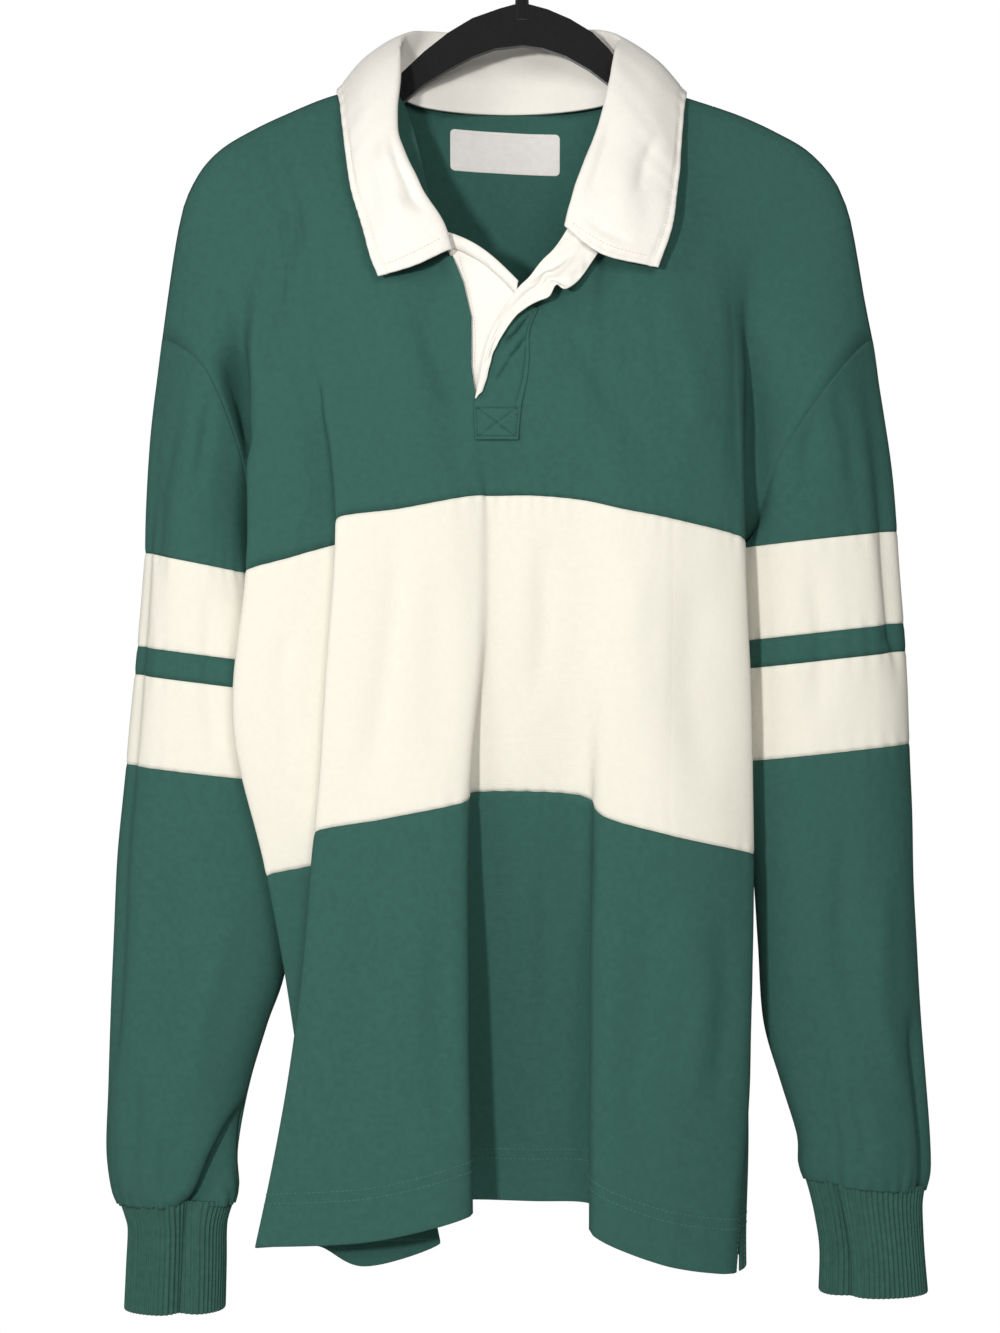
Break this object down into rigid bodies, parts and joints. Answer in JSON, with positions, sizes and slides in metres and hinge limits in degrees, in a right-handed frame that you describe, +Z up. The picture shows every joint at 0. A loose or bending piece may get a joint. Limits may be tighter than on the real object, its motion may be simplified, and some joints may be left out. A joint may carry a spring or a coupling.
{
  "type": "rugby shirt on a clothes hanger",
  "caption": "Long-sleeved rugby shirt with twill collar, open placket, chest band, ringed sleeves and ribbed cuffs, hanging on a slim flocked clothes hanger.",
  "frame": {"origin": "seat inside the top of the hanger's hook, where a rail carries it", "axes": "+Z up, the shirt's front faces -Y, +X to the right as one looks at the front"},
  "size_m": [0.5144, 0.1251, 0.8799],
  "materials": {
    "jersey_green": "matt heavy cotton jersey, dark sea green",
    "jersey_cream": "matt heavy cotton jersey, cream",
    "twill_white": "matt cotton twill, off-white",
    "rib_green": "matt cotton rib, dark sea green",
    "label_satin": "plain woven label cloth, light grey",
    "hanger_flock": "black flocking over plastic",
    "hook_steel": "bright bent wire"
  },
  "bodies": {
    "root": {"front_upper": "jersey_green", "back_upper": "jersey_green", "front_lower": "jersey_green", "back_lower": "jersey_green", "left_sleeve_upper": "jersey_green", "left_sleeve_stripe": "jersey_green", "left_sleeve_lower": "jersey_green", "right_sleeve_upper": "jersey_green", "right_sleeve_stripe": "jersey_green", "right_sleeve_lower": "jersey_green", "placket_over": "jersey_green", "front_band": "jersey_cream", "back_band": "jersey_cream", "left_sleeve_band_upper": "jersey_cream", "left_sleeve_band_lower": "jersey_cream", "right_sleeve_band_upper": "jersey_cream", "right_sleeve_band_lower": "jersey_cream", "collar": "twill_white", "placket_under": "twill_white", "placket_facing": "twill_white", "left_cuff": "rib_green", "right_cuff": "rib_green", "label": "label_satin", "hanger_arms": "hanger_flock", "hanger_hook": "hook_steel"}
  },
  "joints": []
}
